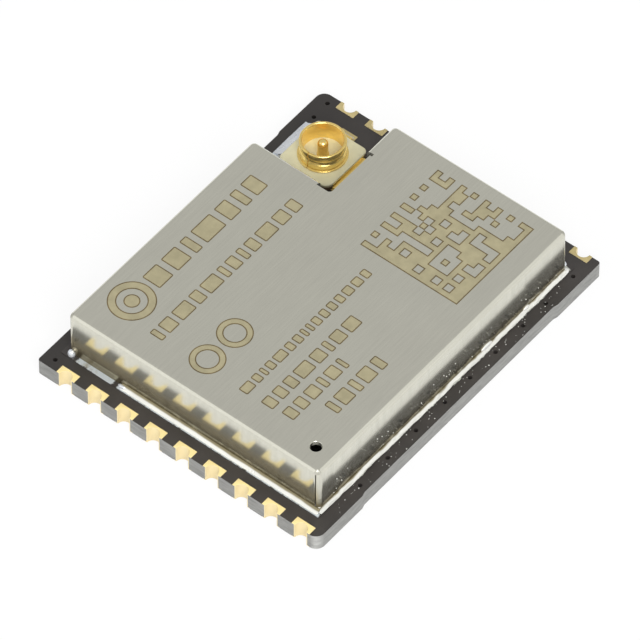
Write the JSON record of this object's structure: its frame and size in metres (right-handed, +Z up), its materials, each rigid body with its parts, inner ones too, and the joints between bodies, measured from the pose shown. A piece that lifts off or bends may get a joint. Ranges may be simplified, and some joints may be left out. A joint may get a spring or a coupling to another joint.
{
  "type": "shielded wireless module",
  "caption": "Board-mounted wireless module: black circuit board with plated half-hole edge pads, folded metal shield can and a small coaxial aerial socket in a corner notch.",
  "frame": {"origin": "middle of the board's outline, on the solder face", "axes": "+X along the long side, +Y towards the long edge at the aerial socket, +Z up from the solder face"},
  "size_m": [0.018, 0.0142, 0.0032],
  "materials": {
    "board_coat": "satin black coating over glass-fibre laminate",
    "pad_gold": "bright gold plating",
    "shield_sheet": "satin rolled sheet, bright at the bends",
    "tin_solder": "bright solder",
    "cream_insulator": "moulded cream polymer",
    "socket_gilt": "polished gilt",
    "chip_black": "moulded epoxy",
    "lead_tin": "tin plate",
    "dark_ceramic": "sintered ceramic",
    "lid_metal": "plated lid",
    "tan_ceramic": "sintered ceramic",
    "black_ceramic": "glazed resistive film",
    "pale_ceramic": "sintered ceramic"
  },
  "bodies": {
    "root": {"circuit_board": "board_coat", "ground_pad": "pad_gold", "shield_land": "tin_solder", "shield_can": "shield_sheet", "shield_solder": "tin_solder", "socket_lands": "tin_solder", "socket_housing": "cream_insulator", "socket_shell": "socket_gilt", "socket_contact": "socket_gilt", "socket_solder": "tin_solder", "radio_chip_body": "chip_black", "radio_chip_leads": "lead_tin", "memory_chip_body": "chip_black", "memory_chip_leads": "lead_tin", "crystal_base": "dark_ceramic", "crystal_lid": "lid_metal", "capacitor_bodies": "tan_ceramic", "capacitor_ends": "lead_tin", "resistor_bodies": "black_ceramic", "resistor_ends": "lead_tin", "inductor_bodies": "pale_ceramic", "inductor_ends": "lead_tin", "edge_pad_1": "pad_gold", "edge_pad_2": "pad_gold", "edge_pad_3": "pad_gold", "edge_pad_4": "pad_gold", "edge_pad_5": "pad_gold", "edge_pad_6": "pad_gold", "edge_pad_7": "pad_gold", "edge_pad_8": "pad_gold", "edge_pad_9": "pad_gold", "edge_pad_10": "pad_gold", "edge_pad_11": "pad_gold", "edge_pad_12": "pad_gold", "edge_pad_13": "pad_gold", "edge_pad_14": "pad_gold", "edge_pad_15": "pad_gold", "edge_pad_16": "pad_gold", "edge_pad_17": "pad_gold", "edge_pad_18": "pad_gold"}
  },
  "joints": []
}
